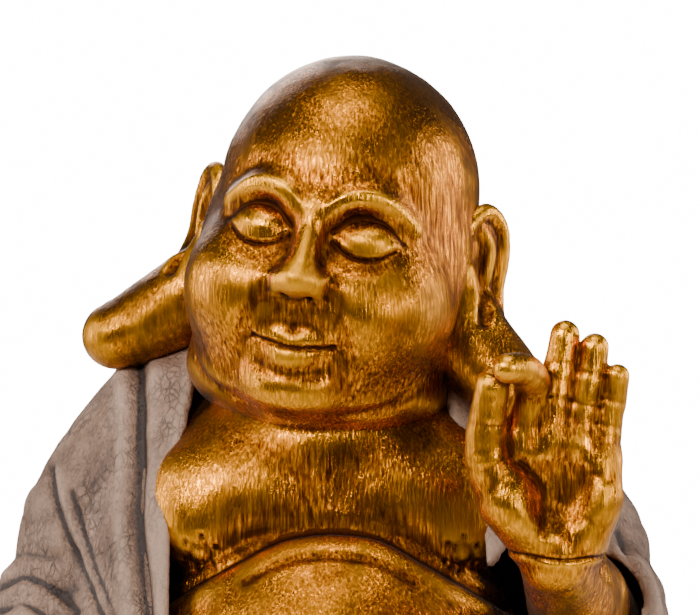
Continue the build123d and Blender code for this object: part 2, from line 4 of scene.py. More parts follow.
import bpy
import numpy as np
import openvdb
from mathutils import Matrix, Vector


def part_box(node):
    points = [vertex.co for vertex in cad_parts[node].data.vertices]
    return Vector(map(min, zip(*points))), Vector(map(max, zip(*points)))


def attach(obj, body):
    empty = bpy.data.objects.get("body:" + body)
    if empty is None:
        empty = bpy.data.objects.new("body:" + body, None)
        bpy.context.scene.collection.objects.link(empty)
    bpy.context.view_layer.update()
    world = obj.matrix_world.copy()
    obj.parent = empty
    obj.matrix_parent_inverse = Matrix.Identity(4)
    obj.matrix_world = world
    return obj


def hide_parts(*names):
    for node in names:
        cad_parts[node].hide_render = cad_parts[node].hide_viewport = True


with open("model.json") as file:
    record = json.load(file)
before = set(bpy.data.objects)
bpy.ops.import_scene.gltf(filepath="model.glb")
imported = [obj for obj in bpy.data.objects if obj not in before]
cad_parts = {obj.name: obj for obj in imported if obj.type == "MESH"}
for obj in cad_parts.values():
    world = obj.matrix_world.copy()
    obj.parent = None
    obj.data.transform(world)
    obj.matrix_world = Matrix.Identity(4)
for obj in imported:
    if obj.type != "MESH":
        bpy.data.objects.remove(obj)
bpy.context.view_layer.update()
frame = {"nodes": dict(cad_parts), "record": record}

# Everything is sculpted in millimetres and skinned in metres.
MM = 0.001
DEEP = 9.0
EMPTY = 40.0
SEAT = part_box("torso_shell")[0].z / MM
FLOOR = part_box("base_felt")[1].z / MM


# --- Clay: a block of signed distances ---------------------------------------------------
def turn_matrix(rx, ry, rz):
    """The turn about X, then Y, then Z of the moving axes, in degrees."""
    a, b, c = (math.radians(v) for v in (rx, ry, rz))
    mx = np.array([[1, 0, 0], [0, math.cos(a), -math.sin(a)], [0, math.sin(a), math.cos(a)]])
    my = np.array([[math.cos(b), 0, math.sin(b)], [0, 1, 0], [-math.sin(b), 0, math.cos(b)]])
    mz = np.array([[math.cos(c), -math.sin(c), 0], [math.sin(c), math.cos(c), 0], [0, 0, 1]])
    return mx @ my @ mz


def soft_min(a, b, k):
    if k <= 0:
        return np.minimum(a, b)
    h = np.clip(k - np.abs(a - b), 0, None) / k
    return np.minimum(a, b) - h * h * k * 0.25


def blob(centre, radii, turn=(0, 0, 0)):
    """An ellipsoid: its reach and its distance."""
    c = np.array(centre, float)
    r = np.array(radii, float) if np.ndim(radii) else np.full(3, float(radii))
    m = turn_matrix(*turn)
    reach = np.sqrt(((m * r) ** 2).sum(1))

    def distance(x, y, z):
        px, py, pz = x - c[0], y - c[1], z - c[2]
        q = [m[0, i] * px + m[1, i] * py + m[2, i] * pz for i in range(3)]
        k0 = np.sqrt(sum((q[i] / r[i]) ** 2 for i in range(3)))
        k1 = np.sqrt(sum((q[i] / r[i] ** 2) ** 2 for i in range(3)))
        return k0 * (k0 - 1) / np.maximum(k1, 1e-6)

    return c - reach, c + reach, distance


def tube(points, radii):
    """A chain of tapered capsules: its reach and its distance."""
    p = np.array(points, float)
    r = np.array(radii, float) if np.ndim(radii) else np.full(len(p), float(radii))

    def distance(x, y, z):
        best = None
        for a, b, r0, r1 in zip(p, p[1:], r, r[1:]):
            d = b - a
            px, py, pz = x - a[0], y - a[1], z - a[2]
            t = np.clip((px * d[0] + py * d[1] + pz * d[2]) / (d @ d), 0, 1)
            near = np.sqrt((px - t * d[0]) ** 2 + (py - t * d[1]) ** 2 + (pz - t * d[2]) ** 2)
            near = near - (r0 + t * (r1 - r0))
            best = near if best is None else np.minimum(best, near)
        return best

    return (p - r[:, None]).min(0), (p + r[:, None]).max(0), distance


def curve(points, n=24):
    """Points of a smooth line through the given ones."""
    p = np.array(points, float)
    if len(p) < 3:
        t = np.linspace(0, 1, n)[:, None]
        return p[0] + (p[-1] - p[0]) * t
    e = np.vstack([2 * p[0] - p[1], p, 2 * p[-1] - p[-2]])
    out = []
    for i in range(len(p) - 1):
        a, b, c, d = e[i : i + 4]
        t = np.linspace(0, 1, max(3, n // (len(p) - 1)), endpoint=i == len(p) - 2)[:, None]
        out.append(
            0.5 * (
                2 * b + (c - a) * t + (2 * a - 5 * b + 4 * c - d) * t**2 + (3 * b - a - 3 * c + d) * t**3
            )
        )
    return np.vstack(out)


def smooth_tube(points, radii, n=16):
    p = curve(points, n)
    r = curve([(v, 0, 0) for v in radii], n)[:, 0] if np.ndim(radii) else radii
    return tube(p, r)


class Clay:
    """A block of clay that shapes are added to and taken from."""

    def __init__(self, low, high, step):
        self.low, self.step = np.array(low, float), step
        size = np.ceil((np.array(high, float) - self.low) / step).astype(int) + 1
        self.f = np.full(tuple(size), EMPTY, np.float32)

    def window(self, low, high):
        a = np.clip(np.floor((low - self.low) / self.step).astype(int), 0, None)
        b = np.minimum(np.ceil((high - self.low) / self.step).astype(int) + 1, self.f.shape)
        lines = [(self.low[i] + self.step * np.arange(a[i], b[i])).astype(np.float32) for i in range(3)]
        return tuple(slice(p, q) for p, q in zip(a, b)), (
            lines[0][:, None, None], lines[1][None, :, None], lines[2][None, None, :]
        )

    def whole(self):
        return self.window(self.low, self.low + self.step * np.array(self.f.shape))[1]

    def put(self, shape, k=0.0):
        low, high, distance = shape
        part, grid = self.window(low - k - 4, high + k + 4)
        self.f[part] = soft_min(self.f[part], distance(*grid), k)

    def cut(self, shape, k=0.0):
        low, high, distance = shape
        part, grid = self.window(low - k - 4, high + k + 4)
        self.f[part] = -soft_min(-self.f[part], distance(*grid), k)

    def skin(self):
        """The surface as points in millimetres and quads."""
        f = np.clip(self.f, -DEEP, DEEP)
        for axis in range(3):
            for end in (0, -1):
                side = [slice(None)] * 3
                side[axis] = end
                f[tuple(side)] = DEEP
        grid = openvdb.FloatGrid(background=DEEP)
        grid.copyFromArray(f)
        points, quads = grid.convertToQuads(isovalue=0.0)
        return Skin(points.astype(float) * self.step + self.low, quads.astype(int))


# --- Skin: a surface that is worked further ----------------------------------------------
class Skin:
    def __init__(self, points, quads):
        self.p, self.q = points, quads
        pairs = np.vstack([quads[:, [i, (i + 1) % 4]] for i in range(4)])
        pairs = np.unique(np.sort(pairs, 1), axis=0)
        self.a = np.concatenate([pairs[:, 0], pairs[:, 1]])
        self.b = np.concatenate([pairs[:, 1], pairs[:, 0]])
        self.count = np.maximum(np.bincount(self.a, minlength=len(points)), 1)
        self.relax(2)

    def mean(self, values):
        """For each point, the mean of its neighbours' values."""
        sums = [np.bincount(self.a, values[self.b, i], len(self.p)) for i in range(3)]
        return np.stack(sums, 1) / self.count[:, None]

    def relax(self, times, share=0.5):
        for _ in range(times):
            self.p = self.p + (self.mean(self.p) - self.p) * share

    def normals(self):
        c = self.p[self.q]
        n = np.cross(c[:, 2] - c[:, 0], c[:, 3] - c[:, 1])
        out = np.stack([np.bincount(self.q.ravel(), np.repeat(n[:, i], 4), len(self.p)) for i in range(3)], 1)
        return out / np.maximum(np.linalg.norm(out, axis=1), 1e-9)[:, None]

    def push(self, amount):
        self.p = self.p + self.normals() * amount[:, None]

    def relief(self, times=10, scale=1.0):
        """How far each point stands over (+) or under (-) its surroundings."""
        n, p = self.normals(), self.p
        s = p
        for _ in range(times):
            s = s + (self.mean(s) - s) * 0.7
        return np.clip(((p - s) * n).sum(1) / scale, -1, 1)

    def piece(self, name, slot, material, *nodes, scales=((8, 0.35), (60, 2.2)), shade=0.0):
        fine = np.clip(self.relief(*scales[0]) + shade, -1, 1)
        broad = self.relief(*scales[1])
        mesh = bpy.data.meshes.new(name)
        mesh.vertices.add(len(self.p))
        mesh.vertices.foreach_set("co", (self.p * MM).astype(np.float32).ravel())
        mesh.loops.add(self.q.size)
        mesh.loops.foreach_set("vertex_index", self.q.astype(np.int32).ravel())
        mesh.polygons.add(len(self.q))
        mesh.polygons.foreach_set("loop_start", (np.arange(len(self.q)) * 4).astype(np.int32))
        mesh.update(calc_edges=True)
        mesh.validate()
        mesh.shade_smooth()
        for label, values in (("fine", fine), ("broad", broad)):
            mesh.attributes.new(label, "FLOAT", "POINT").data.foreach_set("value", values.astype(np.float32))
        obj = bpy.data.objects.new(name, mesh)
        bpy.context.scene.collection.objects.link(obj)
        mesh.materials.append(material)
        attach(obj, "root")
        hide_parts(*nodes)
        print(name, len(self.q) * 2, "triangles")
        return obj


def near_line(p, line, n=24):
    """Distance of each point from a smooth line, in as many axes as the line has."""
    c = curve(line, n)
    low, high = c.min(0) - 14, c.max(0) + 14
    out = np.full(len(p), 99.0)
    close = np.all((p > low) & (p < high), axis=1)
    q = p[close]
    best = np.full(len(q), 99.0)
    for a, b in zip(c, c[1:]):
        d = b - a
        t = np.clip(((q - a) @ d) / max(d @ d, 1e-9), 0, 1)
        best = np.minimum(best, np.linalg.norm(q - a - t[:, None] * d, axis=1))
    out[close] = best
    return out


def bump(distance, width):
    return np.exp(-((distance / width) ** 2))


_lattice = np.random.default_rng(7).random((32, 32, 32))


def noise(p, size, shift=0.0):
    """Smooth noise from -1 to 1 with this grain in millimetres."""
    g = p / np.array(size) + shift + 100.0
    i = np.floor(g).astype(int)
    t = g - i
    t = t * t * (3 - 2 * t)
    out = 0.0
    for dx in (0, 1):
        for dy in (0, 1):
            for dz in (0, 1):
                w = (
                    (t[:, 0] if dx else 1 - t[:, 0])
                    * (t[:, 1] if dy else 1 - t[:, 1])
                    * (t[:, 2] if dz else 1 - t[:, 2])
                )
                out = out + w * _lattice[(i[:, 0] + dx) % 32, (i[:, 1] + dy) % 32, (i[:, 2] + dz) % 32]
    return out * 2 - 1


def mirror(points, side):
    return [(side * x, y, z) for x, y, z in points]


# --- Materials ---------------------------------------------------------------------------
def new_material(name):
    m = bpy.data.materials.new(name)
    m.use_nodes = True
    tree = m.node_tree
    return m, tree, tree.nodes["Principled BSDF"]


def node(tree, kind, **inputs):
    made = tree.nodes.new(kind)
    for key, value in inputs.items():
        if key in ("operation", "blend_type", "data_type", "feature", "attribute_name", "clamp"):
            setattr(made, key, value)
        else:
            made.inputs[key.replace("_", " ")].default_value = value
    return made


def ramp(tree, source, stops):
    made = tree.nodes.new("ShaderNodeValToRGB")
    elements = made.color_ramp.elements
    while len(elements) < len(stops):
        elements.new(0.5)
    for element, (at, colour) in zip(elements, stops):
        element.position = at
        element.color = (*colour, 1) if np.ndim(colour) else (colour, colour, colour, 1)
    tree.links.new(source, made.inputs["Fac"])
    return made.outputs["Color"]


def math_node(tree, operation, a, b, clamp=False):
    made = tree.nodes.new("ShaderNodeMath")
    made.operation, made.use_clamp = operation, clamp
    for socket, value in zip(made.inputs, (a, b)):
        if isinstance(value, (int, float)):
            socket.default_value = value
        else:
            tree.links.new(value, socket)
    return made.outputs[0]


def mix_colour(tree, kind, fac, a, b):
    made = tree.nodes.new("ShaderNodeMix")
    made.data_type, made.blend_type = "RGBA", kind
    for socket, value in ((made.inputs["Factor"], fac), (made.inputs[6], a), (made.inputs[7], b)):
        if isinstance(value, (int, float)):
            socket.default_value = value
        elif isinstance(value, tuple):
            socket.default_value = (*value, 1)
        else:
            tree.links.new(value, socket)
    return made.outputs[2]


def grain(tree, scale, detail=3.0, distortion=0.0, rough=0.55):
    """Noise in object coordinates, stretched by a scale per metre for each axis."""
    place = tree.nodes.new("ShaderNodeTexCoord")
    stretch = tree.nodes.new("ShaderNodeMapping")
    stretch.inputs["Scale"].default_value = scale
    tree.links.new(place.outputs["Object"], stretch.inputs["Vector"])
    made = node(tree, "ShaderNodeTexNoise", Scale=1.0, Detail=detail, Roughness=rough, Distortion=distortion)
    tree.links.new(stretch.outputs[0], made.inputs["Vector"])
    return made.outputs["Fac"]


def cracks(tree, scale, warp=0.004):
    """Distance from the edge of warped cells, in object coordinates."""
    place = tree.nodes.new("ShaderNodeTexCoord")
    wobble = node(tree, "ShaderNodeTexNoise", Scale=90.0, Detail=4.0)
    tree.links.new(place.outputs["Object"], wobble.inputs["Vector"])
    shift = tree.nodes.new("ShaderNodeVectorMath")
    shift.operation = "MULTIPLY_ADD"
    shift.inputs[1].default_value = (warp, warp, warp)
    tree.links.new(wobble.outputs["Color"], shift.inputs[0])
    tree.links.new(place.outputs["Object"], shift.inputs[2])
    stretch = tree.nodes.new("ShaderNodeMapping")
    stretch.inputs["Scale"].default_value = scale
    tree.links.new(shift.outputs[0], stretch.inputs["Vector"])
    made = node(tree, "ShaderNodeTexVoronoi", feature="DISTANCE_TO_EDGE", Scale=1.0)
    tree.links.new(stretch.outputs[0], made.inputs["Vector"])
    return made.outputs["Distance"]


def attribute(tree, name):
    return node(tree, "ShaderNodeAttribute", attribute_name=name).outputs["Fac"]


def bump_node(tree, height, strength, distance, before=None):
    made = node(tree, "ShaderNodeBump", Strength=strength, Distance=distance)
    tree.links.new(height, made.inputs["Height"])
    if before is not None:
        tree.links.new(before, made.inputs["Normal"])
    return made.outputs["Normal"]


def gold_material():
    m, tree, shader = new_material("gilding")
    streak = grain(tree, (950, 950, 75), 4.0, 0.6)
    hair = grain(tree, (2300, 2300, 170), 2.0)
    stain = grain(tree, (34, 34, 20), 4.0, 1.2)
    half = [math_node(tree, "MULTIPLY_ADD", attribute(tree, name), 0.5) for name in ("fine", "broad")]
    for socket in half:
        socket.node.inputs[2].default_value = 0.5
    base = ramp(
        tree, streak,
        ((0.34, (0.07, 0.014, 0.0005)), (0.5, (0.33, 0.088, 0.001)), (0.7, (0.95, 0.335, 0.004)))
    )
    # Darker in fine creases and broad hollows: partly the gilding's patina, partly painted shade. Stain
    # patches add to it.
    crease_patina_and_shade = ramp(tree, half[0], ((0.1, 1.0), (0.48, 0.0)))
    hollow_patina_and_shade = ramp(tree, half[1], ((0.15, 0.95), (0.5, 0.0)))
    patch = ramp(tree, stain, ((0.45, 0.0), (0.64, 0.92)))
    marks_and_shade = math_node(tree, "MAXIMUM", math_node(tree, "MAXIMUM", crease_patina_and_shade, hollow_patina_and_shade), patch, clamp=True)
    colour = mix_colour(tree, "MIX", marks_and_shade, base, (0.035, 0.008, 0.001))
    # Lighter, yellower gold on the broad raised parts: partly rubbed wear, partly painted highlight.
    rubbed_and_highlight = ramp(tree, half[1], ((0.52, 0.0), (0.8, 0.6)))
    colour = mix_colour(tree, "MIX", rubbed_and_highlight, colour, (1.0, 0.42, 0.006))
    tree.links.new(colour, shader.inputs["Base Color"])
    rough = ramp(tree, streak, ((0.3, 0.34), (0.7, 0.17)))
    rough = mix_colour(tree, "MIX", marks_and_shade, rough, (0.46, 0.46, 0.46))
    tree.links.new(rough, shader.inputs["Roughness"])
    shader.inputs["Metallic"].default_value = 1.0
    shader.inputs["Sheen Weight"].default_value = 0.06
    shader.inputs["Sheen Roughness"].default_value = 0.35
    shader.inputs["Sheen Tint"].default_value = (0.75, 0.6, 0.5, 1)
    first = bump_node(tree, streak, 0.5, 0.0007)
    tree.links.new(bump_node(tree, hair, 0.25, 0.0003, first), shader.inputs["Normal"])
    return m


def robe_material():
    m, tree, shader = new_material("robe")
    tone = grain(tree, (30, 30, 22), 6.0, 0.6, 0.6)
    speck = grain(tree, (620, 620, 330), 5.0, 0.8, 0.7)
    chip = grain(tree, (900, 420, 420), 3.0, 1.6, 0.6)
    bark = ramp(tree, cracks(tree, (300, 300, 130), 0.009), ((0.0, 1.0), (0.13, 0.0)))
    where = ramp(tree, grain(tree, (55, 55, 40), 3.0, 0.5), ((0.42, 0.12), (0.62, 1.0)))
    half = [math_node(tree, "MULTIPLY_ADD", attribute(tree, name), 0.5) for name in ("fine", "broad")]
    for socket in half:
        socket.node.inputs[2].default_value = 0.5
    base = ramp(
        tree, tone, ((0.3, (0.11, 0.057, 0.035)), (0.5, (0.20, 0.112, 0.070)), (0.7, (0.30, 0.185, 0.13)))
    )
    base = mix_colour(tree, "MULTIPLY", 0.7, base, ramp(tree, speck, ((0.34, 0.3), (0.6, 1.3))))
    lines = math_node(tree, "MULTIPLY", bark, where)
    nicks = ramp(tree, chip, ((0.3, 0.9), (0.4, 0.0)))
    lines = math_node(tree, "MAXIMUM", lines, nicks)
    # Darker in creases and hollows: partly patina, partly painted shade. Bark cracks and nicks add to it.
    crease_patina_and_shade = ramp(tree, half[0], ((0.1, 0.95), (0.46, 0.0)))
    hollow_patina_and_shade = ramp(tree, half[1], ((0.12, 0.9), (0.5, 0.0)))
    marks_and_shade = math_node(tree, "MAXIMUM", crease_patina_and_shade, hollow_patina_and_shade)
    marks_and_shade = math_node(tree, "MAXIMUM", marks_and_shade, math_node(tree, "MULTIPLY", lines, 0.9), clamp=True)
    colour = mix_colour(tree, "MIX", marks_and_shade, base, (0.028, 0.017, 0.014))
    # Painted highlight: the broad raised folds are made lighter.
    raised_highlight = ramp(tree, half[1], ((0.55, 0.0), (0.95, 0.55)))
    colour = mix_colour(tree, "MIX", raised_highlight, colour, (0.42, 0.275, 0.19))
    tree.links.new(colour, shader.inputs["Base Color"])
    shader.inputs["Roughness"].default_value = 0.62
    shader.inputs["Specular IOR Level"].default_value = 0.35
    groove = math_node(tree, "SUBTRACT", 1.0, lines)
    first = bump_node(tree, groove, 0.6, 0.0009)
    tree.links.new(bump_node(tree, speck, 0.6, 0.0008, first), shader.inputs["Normal"])
    return m


def plain_material(name, low, high, scale, roughness, metallic=0.0, depth=0.0004):
    m, tree, shader = new_material(name)
    value = grain(tree, scale, 5.0, 0.4)
    tree.links.new(ramp(tree, value, ((0.3, low), (0.7, high))), shader.inputs["Base Color"])
    tree.links.new(bump_node(tree, value, 0.4, depth), shader.inputs["Normal"])
    shader.inputs["Roughness"].default_value = roughness
    shader.inputs["Metallic"].default_value = metallic
    return m


GOLD = gold_material()
ROBE = robe_material()
FINISH = {
    "felt": plain_material("felt", (0.012, 0.01, 0.009), (0.035, 0.03, 0.027), (900, 900, 900), 0.95),
    "board": plain_material("board", (0.23, 0.13, 0.06), (0.36, 0.22, 0.11), (8, 160, 160), 0.6),
    "steel": plain_material("steel", (0.4, 0.4, 0.41), (0.56, 0.56, 0.57), (600, 600, 90), 0.35, 1.0),
    "ballast": plain_material("ballast", (0.03, 0.03, 0.03), (0.09, 0.085, 0.08), (300, 300, 300), 0.7, 0.6),
    "dowel": plain_material("dowel", (0.45, 0.3, 0.15), (0.62, 0.45, 0.26), (500, 500, 60), 0.6),
}


# --- Head --------------------------------------------------------------------------------
HEAD_CENTRE = np.array((2.0, -30.0, SEAT + 274.0))
HEAD_TURN = turn_matrix(-3, 9, -12)


def to_head(skin):
    skin.p = skin.p @ HEAD_TURN.T + HEAD_CENTRE
    return skin


def make_head():
    clay = Clay((-64, -78, -92), (64, 76, 86), 1.0)
    clay.put(blob((1, 9, 21.5), (54.5, 60, 58.5)))
    clay.put(blob((0, -3, -22), (57, 54, 50)), 16)
    clay.put(blob((0, 6, -58), (56, 52, 26)), 14)
    for s in (1, -1):
        clay.put(blob((s * 27, -28, -23), (25, 25, 24)), 16)
        clay.cut(blob((s * 22, -62, 6), (17, 13, 11)), 14)
        clay.put(blob((s * 22, -40.6, 3), (13, 11, 8.6), (0, 0, s * 14)), 5)
        clay.put(
            smooth_tube(
                mirror([(6, -50, 13), (15, -50.5, 19.5), (27, -45.5, 20), (38, -36, 12)], s),
                (3.0, 3.4, 3.0, 2.2)
            ),
            8
        )
        clay.put(blob((s * 8.2, -55.5, -17.5), (6.0, 6.5, 5.4)), 4)
        clay.put(blob((s * 47, 2, -2), (8, 14, 18)), 10)
    clay.put(
        smooth_tube([(0, -48, 17), (0, -52.5, 5), (0, -58, -7), (0, -60.5, -15)], (4.2, 4.4, 5.6, 7.6)), 6
    )
    for s in (1, -1):
        clay.cut(tube(mirror([(4.6, -61, -25.5), (5.4, -57, -20)], s), (2.0, 1.4)), 1.5)
    clay.put(
        smooth_tube(
            [
                (-16, -47.5, -40.0), (-7, -52.6, -39.2), (0, -53.4, -40.2), (7, -52.6, -39.2),
                (16, -47.5, -40.0)
            ],
            (1.6, 3.4, 3.3, 3.4, 1.6)
        ),
        4
    )
    clay.put(smooth_tube([(-13, -48.5, -43.8), (0, -52.8, -46.4), (13, -48.5, -43.8)], (1.8, 4.2, 1.8)), 4)
    clay.put(blob((0, -42.5, -60), (17, 12, 12)), 12)
    skin = clay.skin()
    flat, front = skin.p[:, [0, 2]], np.clip((-skin.p[:, 1] - 18) / 10, 0, 1)

    def draw(line, width, height):
        for s in (1, -1):
            skin.push(height * front * bump(near_line(flat, [(s * x, z) for x, z in line]), width))

    # the lowered upper lid, the slit of the eye, the crease over it and the fold under it
    draw([(9.5, 1.0), (15, -2.8), (22, -4.4), (29, -3.0), (35, 1.4)], 0.9, -1.5)
    draw([(10.5, 3.2), (15, -0.4), (22, -1.9), (29, -0.6), (34, 3.4)], 1.4, 0.5)
    draw([(9.5, 5.5), (15, 10.6), (22, 12.6), (30, 10.8), (37, 4.6)], 1.2, -0.9)
    draw([(10.5, -2.6), (15, -7.6), (22, -9.4), (30, -7.4)], 1.6, -0.5)
    draw([(13.5, -19), (18, -27), (21.5, -36), (22, -43)], 3.4, -0.9)
    draw([(12.6, -14), (13.5, -18), (12.4, -22)], 1.4, -0.7)
    skin.push(
        -1.5 * front * bump(
            near_line(flat, [(-17, -41.4), (-8, -42.4), (0, -43.2), (8, -42.4), (17, -41.4)]), 0.9
        )
    )
    skin.push(-0.35 * front * bump(near_line(flat, [(0, -29), (0, -35)]), 2.6))
    skin.push(-1.0 * front * bump(near_line(flat, [(-12, -52.4), (0, -54), (12, -52.4)]), 3.2))
    draw([(18, -41), (19.4, -42.4)], 2.4, -0.8)
    draw([(6, 15.5), (15, 22), (27, 22.5), (39, 13.5)], 1.2, 0.5)
    skin.push(
        -1.1 * front * bump(
            near_line(flat, [(-52, -50), (-36, -64), (0, -71.5), (36, -64), (52, -50)]), 2.2
        )
    )
    skin.push(0.4 * noise(skin.p, 16.0) + 0.12 * noise(skin.p, 5.0, 3.0))
    return to_head(skin).piece("head", "gilding", GOLD, "head_shell")


def make_ear(side, name):
    clay = Clay(*(((34, -24, -80), (116, 44, 46)) if side > 0 else ((-116, -24, -80), (-34, 44, 46))), 0.85)
    # the long lobe, then the shell of the ear with its rim, hollow and inner fold
    clay.put(
        smooth_tube(
            mirror([(54, 8, -14), (60, 10, -30), (74, 9, -43), (90, 6, -54)], side), (13, 18, 17.5, 14.5)
        )
    )
    clay.put(blob((side * 57, 14, 2), (7, 13, 22), (0, 0, -side * 24)), 6)
    clay.put(
        smooth_tube(
            mirror(
                [
                    (54, 3, 9), (55, 5, 18), (59, 12, 23), (64, 20, 18), (66.5, 23, 6), (66.5, 21, -8),
                    (70, 15, -24)
                ],
                side
            ),
            (2.8, 3.4, 3.8, 4.0, 3.8, 3.8, 4.5)
        ),
        2
    )
    clay.cut(
        smooth_tube(
            mirror([(62, 6, 10), (65.5, 9, -1), (66, 5, -13), (68, -2, -22)], side), (4.0, 6.0, 4.5, 2.5)
        ),
        4
    )
    clay.put(smooth_tube(mirror([(58, 9, 16), (62.5, 14, 8), (63, 14, -5)], side), (2.2, 2.6, 2.2)), 2)
    clay.put(blob((side * 56, 0, -4), (4, 4, 6)), 3)
    skin = clay.skin()
    skin.push(0.4 * noise(skin.p, 13.0, side) + 0.12 * noise(skin.p, 4.0))
    return to_head(skin).piece(name, "gilding", GOLD, name)


# --- Torso -------------------------------------------------------------------------------
def make_torso():
    z0 = SEAT
    clay = Clay((-92, -130, z0 - 2), (92, 60, z0 + 222), 1.4)
    clay.put(blob((0, -8, z0 + 164), (76, 64, 52)))
    clay.put(blob((0, -10, z0 + 196), (60, 56, 24)), 16)
    for s in (1, -1):
        clay.put(blob((s * 38, -36, z0 + 168), (40, 34, 32), (0, 0, s * -14)), 16)
        clay.put(blob((s * 52, -50, z0 + 155), (20, 19, 17)), 12)
    clay.put(blob((0, -38, z0 + 76), (87, 86, 93)), 3)
    for s in (1, -1):
        clay.put(blob((s * 54, -66.5, z0 + 149.5), (4.0, 3.2, 4.0)), 1.5)
    skin = clay.skin()
    flat, front = skin.p[:, [0, 2]], np.clip((-skin.p[:, 1] - 20) / 10, 0, 1)
    arch = [
        (-78, z0 + 120), (-57, z0 + 136), (-36, z0 + 149), (-20, z0 + 157), (0, z0 + 160), (20, z0 + 157),
        (36, z0 + 149), (57, z0 + 136), (78, z0 + 120)
    ]
    skin.push(-1.9 * front * bump(near_line(flat, arch), 1.3))
    skin.push(0.7 * front * bump(near_line(flat, [(x, z + 5.5) for x, z in arch]), 3.4))
    skin.push(0.7 * front * bump(near_line(flat, [(x * 0.98, z - 4.5) for x, z in arch]), 3.0))
    skin.push(-0.9 * front * bump(near_line(flat, [(x * 0.96, z - 8.5) for x, z in arch[2:-2]]), 1.3))
    for s in (1, -1):
        for i in range(6):
            a = i * math.pi / 3 + 0.4
            spot = np.hypot(
                flat[:, 0] - s * 54 - 7.4 * math.cos(a), flat[:, 1] - z0 - 149 - 7.4 * math.sin(a)
            )
            skin.push(-1.8 * front * bump(spot, 1.0))
        spot = np.hypot(flat[:, 0] - s * 54, flat[:, 1] - z0 - 149)
        skin.push(-0.6 * front * bump(spot - 4.6, 1.0))
    navel = np.hypot(flat[:, 0], flat[:, 1] - z0 - 62)
    skin.push(front * (-7.0 * bump(navel, 4.2) + 1.0 * bump(navel - 8, 3.0)))
    skin.push(0.6 * noise(skin.p, 22.0) + 0.15 * noise(skin.p, 6.0, 2.0))
    return skin.piece("torso", "gilding", GOLD, "torso_shell", scales=((8, 0.5), (60, 3.0)))


# --- Arms and hands ----------------------------------------------------------------------
RAISED = {
    "index": [(-17, 0, 42), (-13.5, -5, 62), (-18, -16, 71), (-25, -22, 72)],
    "middle": [(-6, 0, 44), (-4.5, -0.5, 60), (-3, 0, 73), (-2, 0.5, 84)],
    "ring": [(5, 0, 42), (7, -0.5, 58), (9, -1, 70), (10, -1, 80)],
    "little": [(14.5, 0, 37), (16.5, -0.5, 50), (18.5, -1, 60), (19.5, -2, 69)],
    "thumb": [(-20, -5, 18), (-30, -9, 34), (-31, -11, 50), (-30, -13, 64)],
}
RESTING = {
    "index": [(-15, 0, 42), (-17, -3, 58), (-17.5, -9, 70), (-18, -17, 79)],
    "middle": [(-5, 0, 44), (-5, -3, 61), (-5, -9, 74), (-5, -17, 84)],
    "ring": [(5, 0, 42), (6.5, -3, 58), (7, -9, 71), (7.5, -17, 80)],
    "little": [(14, 0, 37), (17.5, -3, 50), (19, -8, 60), (20, -15, 68)],
    "thumb": [(-18, -4, 16), (-29, -7, 32), (-33, -9, 46), (-34, -12, 57)],
}
THICK = {
    "index": (9.4, 7.4, 6.8, 5.8), "middle": (9.4, 7.6, 6.7, 5.7), "ring": (9.0, 7.2, 6.3, 5.4),
    "little": (8.2, 6.4, 5.6, 4.8), "thumb": (12.0, 8.8, 7.6, 6.6),
}


